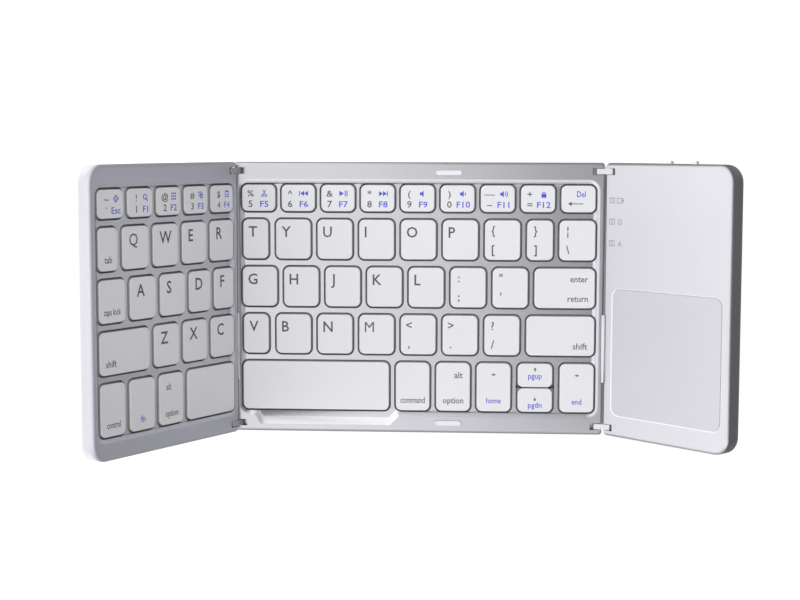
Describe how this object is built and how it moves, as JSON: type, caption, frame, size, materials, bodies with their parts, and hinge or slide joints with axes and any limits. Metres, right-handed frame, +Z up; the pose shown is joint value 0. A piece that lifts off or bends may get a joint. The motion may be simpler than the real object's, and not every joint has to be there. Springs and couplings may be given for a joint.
{
  "type": "folding keyboard",
  "caption": "Pocket keyboard in silver, with a left flap of keys and a right touch-pad flap that fold over the centre panel on double-pivot links.",
  "frame": {"origin": "middle of the centre panel in plan, on the plane that its rubber feet rest on", "axes": "+X along the key rows towards the touch-pad flap, +Y towards the number row, +Z up"},
  "size_m": [0.2164, 0.0984, 0.0748],
  "materials": {
    "shell": "fine metallic silver paint",
    "keycap": "satin silver-white",
    "switch_plate": "dark sheet with domes",
    "rim_pad_rubber": "matt, pale",
    "foot_rubber": "matt, dark",
    "steel": "bright",
    "link_metal": "satin",
    "cover_plastic": "fine metallic silver paint",
    "ribbon_film": "amber film",
    "touch_surface": "very fine matt",
    "circuit_board": "solder resist",
    "battery_foil": "foil pouch",
    "slider_plastic": "plain",
    "window_plastic": "clear, frosted"
  },
  "bodies": {
    "centre": {"centre_base": "shell", "centre_deck": "shell", "centre_switch_sheet": "switch_plate", "rim_pads": "rim_pad_rubber", "centre_feet": "foot_rubber", "centre_screws": "steel"},
    "left_link": {"left_hinge_links": "link_metal", "left_hinge_pins": "steel", "left_cable_cover": "cover_plastic", "left_ribbon": "ribbon_film"},
    "left_flap": {"left_base": "shell", "left_deck": "shell", "left_switch_sheet": "switch_plate", "left_feet": "foot_rubber", "left_screws": "steel"},
    "right_link": {"right_hinge_links": "link_metal", "right_hinge_pins": "steel", "right_cable_cover": "cover_plastic", "right_ribbon": "ribbon_film"},
    "right_flap": {"right_base": "shell", "right_deck": "shell", "touch_pad": "touch_surface", "main_board": "circuit_board", "battery": "battery_foil", "charge_socket": "steel", "indicator_windows": "window_plastic", "right_feet": "foot_rubber", "right_screws": "steel"},
    "power_slider": {"power_switch": "slider_plastic"},
    "mode_slider": {"mode_switch": "slider_plastic"},
    "left_number_keys": {"left_number_keys": "keycap"},
    "tab_key": {"tab_key": "keycap"},
    "left_upper_keys": {"left_upper_keys": "keycap"},
    "caps_key": {"caps_key": "keycap"},
    "left_home_keys": {"left_home_keys": "keycap"},
    "left_shift_key": {"left_shift_key": "keycap"},
    "left_lower_keys": {"left_lower_keys": "keycap"},
    "control_key": {"control_key": "keycap"},
    "fn_key": {"fn_key": "keycap"},
    "left_option_key": {"left_option_key": "keycap"},
    "left_space_key": {"left_space_key": "keycap"},
    "centre_number_keys": {"centre_number_keys": "keycap"},
    "backspace_key": {"backspace_key": "keycap"},
    "t_key": {"t_key": "keycap"},
    "upper_keys": {"upper_keys": "keycap"},
    "brace_key": {"brace_key": "keycap"},
    "pipe_key": {"pipe_key": "keycap"},
    "home_row_keys": {"home_row_keys": "keycap"},
    "enter_key": {"enter_key": "keycap"},
    "v_key": {"v_key": "keycap"},
    "lower_keys": {"lower_keys": "keycap"},
    "right_shift_key": {"right_shift_key": "keycap"},
    "right_space_key": {"right_space_key": "keycap"},
    "command_key": {"command_key": "keycap"},
    "right_option_key": {"right_option_key": "keycap"},
    "arrow_left_key": {"arrow_left_key": "keycap"},
    "arrow_up_key": {"arrow_up_key": "keycap"},
    "arrow_down_key": {"arrow_down_key": "keycap"},
    "arrow_right_key": {"arrow_right_key": "keycap"}
  },
  "joints": [
    {"name": "left_link_fold", "type": "hinge", "parent": "centre", "child": "left_link", "pos_m": [-0.064, 0, 0.0068], "axis": [0, 1, 0], "range_deg": [-60.7, 29.3]},
    {"name": "left_flap_fold", "type": "hinge", "parent": "left_link", "child": "left_flap", "pos_m": [-0.06645, 0, 0.01116], "axis": [0, 1, 0], "range_deg": [0, 90]},
    {"name": "right_link_fold", "type": "hinge", "parent": "centre", "child": "right_link", "pos_m": [0.064, 0, 0.0068], "axis": [0, -1, 0], "range_deg": [-18, 72]},
    {"name": "right_flap_fold", "type": "hinge", "parent": "right_link", "child": "right_flap", "pos_m": [0.06875, 0, 0.00834], "axis": [0, -1, 0], "range_deg": [-27, 63]},
    {"name": "power_switch_slide", "type": "slide", "parent": "right_flap", "child": "power_slider", "axis": [0.7071, 0, 0.7071], "range_m": [0, 0.002]},
    {"name": "mode_switch_slide", "type": "slide", "parent": "right_flap", "child": "mode_slider", "axis": [0.7071, 0, 0.7071], "range_m": [0, 0.002]},
    {"name": "left_number_press", "type": "slide", "parent": "left_flap", "child": "left_number_keys", "axis": [-0.8721, 0, -0.4894], "range_m": [0, 0.0012], "stiffness_N_per_m": 1500, "springref_m": -0.0005},
    {"name": "tab_press", "type": "slide", "parent": "left_flap", "child": "tab_key", "axis": [-0.8721, 0, -0.4894], "range_m": [0, 0.0012], "stiffness_N_per_m": 300, "springref_m": -0.0005},
    {"name": "left_upper_press", "type": "slide", "parent": "left_flap", "child": "left_upper_keys", "axis": [-0.8721, 0, -0.4894], "range_m": [0, 0.0012], "stiffness_N_per_m": 1200, "springref_m": -0.0005},
    {"name": "caps_press", "type": "slide", "parent": "left_flap", "child": "caps_key", "axis": [-0.8721, 0, -0.4894], "range_m": [0, 0.0012], "stiffness_N_per_m": 300, "springref_m": -0.0005},
    {"name": "left_home_press", "type": "slide", "parent": "left_flap", "child": "left_home_keys", "axis": [-0.8721, 0, -0.4894], "range_m": [0, 0.0012], "stiffness_N_per_m": 1200, "springref_m": -0.0005},
    {"name": "left_shift_press", "type": "slide", "parent": "left_flap", "child": "left_shift_key", "axis": [-0.8721, 0, -0.4894], "range_m": [0, 0.0012], "stiffness_N_per_m": 300, "springref_m": -0.0005},
    {"name": "left_lower_press", "type": "slide", "parent": "left_flap", "child": "left_lower_keys", "axis": [-0.8721, 0, -0.4894], "range_m": [0, 0.0012], "stiffness_N_per_m": 900, "springref_m": -0.0005},
    {"name": "control_press", "type": "slide", "parent": "left_flap", "child": "control_key", "axis": [-0.8721, 0, -0.4894], "range_m": [0, 0.0012], "stiffness_N_per_m": 300, "springref_m": -0.0005},
    {"name": "fn_press", "type": "slide", "parent": "left_flap", "child": "fn_key", "axis": [-0.8721, 0, -0.4894], "range_m": [0, 0.0012], "stiffness_N_per_m": 300, "springref_m": -0.0005},
    {"name": "left_option_press", "type": "slide", "parent": "left_flap", "child": "left_option_key", "axis": [-0.8721, 0, -0.4894], "range_m": [0, 0.0012], "stiffness_N_per_m": 300, "springref_m": -0.0005},
    {"name": "left_space_press", "type": "slide", "parent": "left_flap", "child": "left_space_key", "axis": [-0.8721, 0, -0.4894], "range_m": [0, 0.0012], "stiffness_N_per_m": 300, "springref_m": -0.0005},
    {"name": "centre_number_press", "type": "slide", "parent": "centre", "child": "centre_number_keys", "axis": [0, 0, -1], "range_m": [0, 0.0012], "stiffness_N_per_m": 2400, "springref_m": -0.0005},
    {"name": "backspace_press", "type": "slide", "parent": "centre", "child": "backspace_key", "axis": [0, 0, -1], "range_m": [0, 0.0012], "stiffness_N_per_m": 300, "springref_m": -0.0005},
    {"name": "t_press", "type": "slide", "parent": "centre", "child": "t_key", "axis": [0, 0, -1], "range_m": [0, 0.0012], "stiffness_N_per_m": 300, "springref_m": -0.0005},
    {"name": "upper_press", "type": "slide", "parent": "centre", "child": "upper_keys", "axis": [0, 0, -1], "range_m": [0, 0.0012], "stiffness_N_per_m": 1800, "springref_m": -0.0005},
    {"name": "brace_press", "type": "slide", "parent": "centre", "child": "brace_key", "axis": [0, 0, -1], "range_m": [0, 0.0012], "stiffness_N_per_m": 300, "springref_m": -0.0005},
    {"name": "pipe_press", "type": "slide", "parent": "centre", "child": "pipe_key", "axis": [0, 0, -1], "range_m": [0, 0.0012], "stiffness_N_per_m": 300, "springref_m": -0.0005},
    {"name": "home_row_press", "type": "slide", "parent": "centre", "child": "home_row_keys", "axis": [0, 0, -1], "range_m": [0, 0.0012], "stiffness_N_per_m": 2100, "springref_m": -0.0005},
    {"name": "enter_press", "type": "slide", "parent": "centre", "child": "enter_key", "axis": [0, 0, -1], "range_m": [0, 0.0012], "stiffness_N_per_m": 300, "springref_m": -0.0005},
    {"name": "v_press", "type": "slide", "parent": "centre", "child": "v_key", "axis": [0, 0, -1], "range_m": [0, 0.0012], "stiffness_N_per_m": 300, "springref_m": -0.0005},
    {"name": "lower_press", "type": "slide", "parent": "centre", "child": "lower_keys", "axis": [0, 0, -1], "range_m": [0, 0.0012], "stiffness_N_per_m": 1800, "springref_m": -0.0005},
    {"name": "right_shift_press", "type": "slide", "parent": "centre", "child": "right_shift_key", "axis": [0, 0, -1], "range_m": [0, 0.0012], "stiffness_N_per_m": 300, "springref_m": -0.0005},
    {"name": "right_space_press", "type": "slide", "parent": "centre", "child": "right_space_key", "axis": [0, 0, -1], "range_m": [0, 0.0012], "stiffness_N_per_m": 300, "springref_m": -0.0005},
    {"name": "command_press", "type": "slide", "parent": "centre", "child": "command_key", "axis": [0, 0, -1], "range_m": [0, 0.0012], "stiffness_N_per_m": 300, "springref_m": -0.0005},
    {"name": "right_option_press", "type": "slide", "parent": "centre", "child": "right_option_key", "axis": [0, 0, -1], "range_m": [0, 0.0012], "stiffness_N_per_m": 300, "springref_m": -0.0005},
    {"name": "arrow_left_press", "type": "slide", "parent": "centre", "child": "arrow_left_key", "axis": [0, 0, -1], "range_m": [0, 0.0012], "stiffness_N_per_m": 300, "springref_m": -0.0005},
    {"name": "arrow_up_press", "type": "slide", "parent": "centre", "child": "arrow_up_key", "axis": [0, 0, -1], "range_m": [0, 0.0012], "stiffness_N_per_m": 300, "springref_m": -0.0005},
    {"name": "arrow_down_press", "type": "slide", "parent": "centre", "child": "arrow_down_key", "axis": [0, 0, -1], "range_m": [0, 0.0012], "stiffness_N_per_m": 300, "springref_m": -0.0005},
    {"name": "arrow_right_press", "type": "slide", "parent": "centre", "child": "arrow_right_key", "axis": [0, 0, -1], "range_m": [0, 0.0012], "stiffness_N_per_m": 300, "springref_m": -0.0005}
  ]
}
